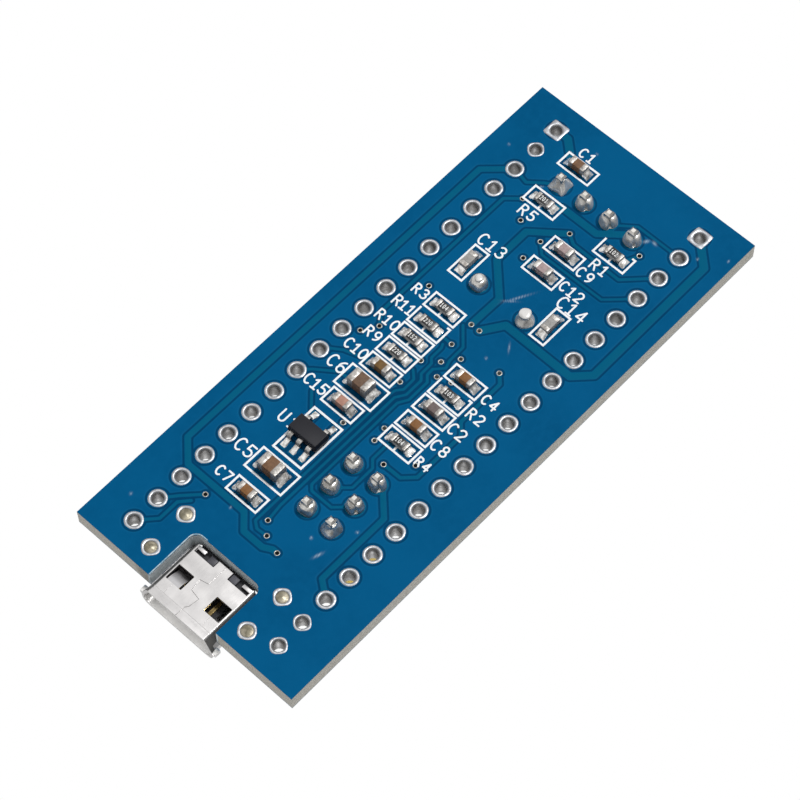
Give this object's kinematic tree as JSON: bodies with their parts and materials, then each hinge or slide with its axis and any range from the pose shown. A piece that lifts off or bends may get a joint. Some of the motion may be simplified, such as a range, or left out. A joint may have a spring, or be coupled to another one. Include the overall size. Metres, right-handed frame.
{
  "type": "microcontroller development board",
  "caption": "Small microcontroller board: two rows of header holes, micro USB socket in an end cut-out, chip parts below, chip, crystal, reset switch and jumpers above.",
  "frame": {"origin": "centre of the circuit board's outline on its solder-side face", "axes": "+Z out of the component side, +X along the board towards the USB end, +Y across the board"},
  "size_m": [0.0541, 0.0226, 0.0118],
  "materials": {
    "solder_mask": "satin blue solder mask over copper on glass-epoxy",
    "ceramic_brown": "satin ceramic",
    "ceramic_pink": "satin ceramic",
    "ceramic_orange": "satin ceramic",
    "ceramic_grey": "satin ceramic",
    "resistor_black": "glossy overcoat",
    "led_body": "clear resin",
    "chip_moulding": "fine matte moulding",
    "black_moulding": "satin",
    "bright_steel": "tinned or nickel-plated sheet",
    "button_plastic": "satin",
    "gold_contact": "gold flash",
    "pin_metal": "gold flash over brass",
    "jumper_plastic": "satin",
    "spring_bronze": "bright"
  },
  "bodies": {
    "board": {"pcb": "solder_mask", "capacitor_C1": "ceramic_brown", "capacitor_C10": "ceramic_brown", "capacitor_C6": "ceramic_brown", "capacitor_C5": "ceramic_brown", "capacitor_C3": "ceramic_brown", "capacitor_C11": "ceramic_brown", "capacitor_C9": "ceramic_pink", "capacitor_C12": "ceramic_pink", "capacitor_C2": "ceramic_pink", "capacitor_C15": "ceramic_pink", "capacitor_C4": "ceramic_orange", "capacitor_C8": "ceramic_orange", "capacitor_C7": "ceramic_orange", "capacitor_C13": "ceramic_grey", "capacitor_C14": "ceramic_grey", "resistor_R1": "resistor_black", "resistor_R2": "resistor_black", "resistor_R3": "resistor_black", "resistor_R4": "resistor_black", "resistor_R5": "resistor_black", "resistor_R9": "resistor_black", "resistor_R10": "resistor_black", "resistor_R11": "resistor_black", "resistor_R6": "resistor_black", "resistor_R7": "resistor_black", "led_power": "led_body", "led_status": "led_body", "voltage_regulator_U1": "chip_moulding", "mcu_chip": "chip_moulding", "clock_crystal": "chip_moulding", "main_crystal_can": "bright_steel", "main_crystal_base": "bright_steel", "reset_switch_base": "black_moulding", "reset_switch_cover": "bright_steel", "reset_dome": "bright_steel", "usb_shell": "bright_steel", "usb_insulator": "black_moulding", "usb_contact_1": "gold_contact", "usb_contact_2": "gold_contact", "usb_contact_3": "gold_contact", "usb_contact_4": "gold_contact", "usb_contact_5": "gold_contact", "boot_header_base": "black_moulding", "boot_header_pin_1": "pin_metal", "boot_header_pin_2": "pin_metal", "boot_header_pin_3": "pin_metal", "boot_header_pin_4": "pin_metal", "boot_header_pin_5": "pin_metal", "boot_header_pin_6": "pin_metal", "debug_header_base": "black_moulding", "debug_header_pin_1": "pin_metal", "debug_header_pin_2": "pin_metal", "debug_header_pin_3": "pin_metal", "debug_header_pin_4": "pin_metal"},
    "reset_button": {"reset_button": "button_plastic"},
    "boot_jumper_0": {"boot_jumper_cap_0": "jumper_plastic", "boot_jumper_clip_0": "spring_bronze"},
    "boot_jumper_1": {"boot_jumper_cap_1": "jumper_plastic", "boot_jumper_clip_1": "spring_bronze"}
  },
  "joints": [
    {"name": "reset_press", "type": "slide", "parent": "board", "child": "reset_button", "axis": [0, 0, -1], "range_m": [0, 0.00025], "stiffness_N_per_m": 2},
    {"name": "boot_jumper_0_lift", "type": "slide", "parent": "board", "child": "boot_jumper_0", "axis": [0, 0, 1], "range_m": [0, 0.007]},
    {"name": "boot_jumper_1_lift", "type": "slide", "parent": "board", "child": "boot_jumper_1", "axis": [0, 0, 1], "range_m": [0, 0.007]}
  ]
}
